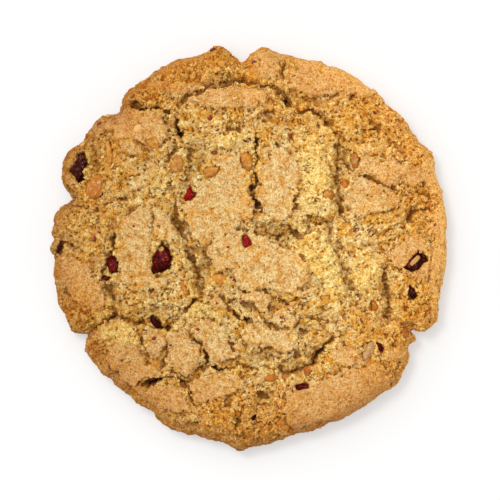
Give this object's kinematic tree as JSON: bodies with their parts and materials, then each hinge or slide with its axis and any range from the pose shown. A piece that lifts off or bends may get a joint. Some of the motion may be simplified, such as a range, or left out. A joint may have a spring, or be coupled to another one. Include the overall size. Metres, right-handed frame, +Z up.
{
  "type": "granola cookie",
  "caption": "Thick round baked cookie with a cracked crust over crumbly dough, dried red fruit and nut pieces set in its top, flat underneath.",
  "frame": {"origin": "middle of the flat base", "axes": "+Z up out of the cracked top, +X to the right and +Y away from a viewer who looks down on the top"},
  "size_m": [0.0992, 0.1013, 0.0147],
  "materials": {
    "crust": "dry baked dough, golden with browned edges and dark pores",
    "dried_fruit": "wrinkled dried fruit, dark red with a sticky gloss",
    "nut": "toasted nut, satin"
  },
  "bodies": {
    "root": {"cookie": "crust", "cranberry_1": "dried_fruit", "cranberry_2": "dried_fruit", "cranberry_3": "dried_fruit", "cranberry_4": "dried_fruit", "cranberry_5": "dried_fruit", "cranberry_6": "dried_fruit", "cranberry_7": "dried_fruit", "cranberry_8": "dried_fruit", "cranberry_9": "dried_fruit", "cranberry_10": "dried_fruit", "cranberry_11": "dried_fruit", "cranberry_12": "dried_fruit", "cranberry_13": "dried_fruit", "cranberry_14": "dried_fruit", "almond_1": "nut", "almond_2": "nut", "almond_3": "nut", "almond_4": "nut", "almond_5": "nut", "almond_6": "nut", "almond_7": "nut", "almond_8": "nut", "almond_9": "nut", "almond_10": "nut", "almond_11": "nut", "almond_12": "nut", "almond_13": "nut", "almond_14": "nut", "almond_15": "nut", "almond_16": "nut", "almond_17": "nut", "almond_18": "nut", "almond_19": "nut", "almond_20": "nut"}
  },
  "joints": []
}
